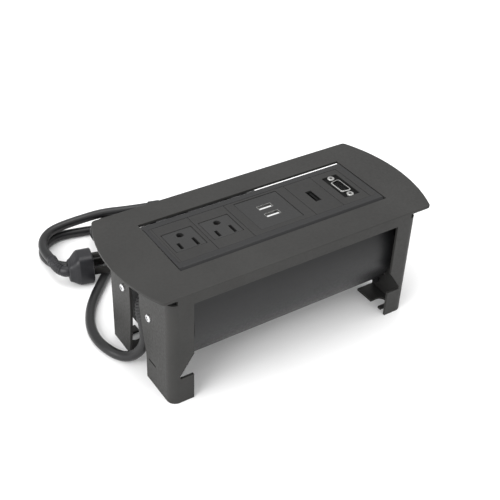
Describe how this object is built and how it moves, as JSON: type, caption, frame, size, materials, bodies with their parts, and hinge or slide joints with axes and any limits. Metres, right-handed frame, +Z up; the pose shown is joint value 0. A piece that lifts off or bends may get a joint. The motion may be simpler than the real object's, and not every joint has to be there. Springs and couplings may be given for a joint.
{
  "type": "flip-over desk power strip",
  "caption": "Desk power strip whose drum of mains, USB and video sockets turns over in a bent sheet frame to show a blank cover, with a coiled mains cord.",
  "frame": {"origin": "on the plane of the feet's undersides, under the middle of the top plate", "axes": "+X along the drum's axis from the cord's end to the other end, +Y from the front apron to the back, +Z up out of the top plate"},
  "size_m": [0.2609, 0.2324, 0.097],
  "materials": {
    "frame_paint": "fine satin powder coat, dark grey",
    "bearing_steel": "black zinc",
    "zinc_screw": "bright zinc",
    "nylon": "dark nylon",
    "washer_fibre": "brown fibre",
    "drum_plastic": "satin dark grey",
    "face_plastic": "satin grey",
    "socket_plastic": "fine matt",
    "housing_plastic": "matt",
    "contact_brass": "plain",
    "port_metal": "nickel plated",
    "tongue_light": "matt",
    "tongue_dark": "matt",
    "port_black": "gloss",
    "board_green": "solder mask",
    "lead_black": "matt",
    "lead_white": "matt",
    "lead_green": "matt",
    "cord_rubber": "satin",
    "boot_rubber": "matt",
    "plug_rubber": "satin",
    "pin_nickel": "nickel plated",
    "tie_fabric": "woven hook and loop strap"
  },
  "bodies": {
    "frame": {"frame_shell": "frame_paint", "left_bearing_plate": "bearing_steel", "right_bearing_plate": "bearing_steel", "left_bush": "nylon", "right_bush": "nylon", "bearing_standoffs": "zinc_screw", "side_screws": "zinc_screw", "bearing_screws": "zinc_screw", "stop_pin": "zinc_screw", "friction_washer": "washer_fibre", "cord_boot": "boot_rubber", "power_cord": "cord_rubber", "cord_hank": "cord_rubber", "hank_tie": "tie_fabric", "mains_plug": "plug_rubber", "plug_blades": "pin_nickel", "plug_ground_pin": "pin_nickel"},
    "drum": {"drum_shell": "drum_plastic", "left_end_cap": "drum_plastic", "right_end_cap": "drum_plastic", "left_journal": "nylon", "right_journal": "nylon", "end_cap_screws": "zinc_screw", "outlet_face_1": "face_plastic", "outlet_face_2": "face_plastic", "outlet_insert_1": "socket_plastic", "outlet_insert_2": "socket_plastic", "outlet_housing_1": "housing_plastic", "outlet_housing_2": "housing_plastic", "outlet_contacts_1": "contact_brass", "outlet_contacts_2": "contact_brass", "usb_face": "face_plastic", "usb_insert": "socket_plastic", "usb_shells": "port_metal", "usb_tongues": "tongue_light", "usb_charger_board": "board_green", "hdmi_face": "face_plastic", "hdmi_shell": "port_black", "hdmi_tongue": "tongue_dark", "hdmi_coupler": "housing_plastic", "vga_face": "face_plastic", "vga_plate": "port_black", "vga_shell": "port_metal", "vga_insulator": "port_black", "vga_jackscrews": "port_metal", "vga_coupler": "housing_plastic", "end_trims": "face_plastic", "cover_plate": "face_plastic", "terminal_block": "housing_plastic", "live_lead": "lead_black", "neutral_lead": "lead_white", "earth_lead": "lead_green"}
  },
  "joints": [
    {"name": "drum_flip", "type": "hinge", "parent": "frame", "child": "drum", "pos_m": [0, 0.0017, 0.0563], "axis": [1, 0, 0], "range_deg": [0, 180]}
  ]
}
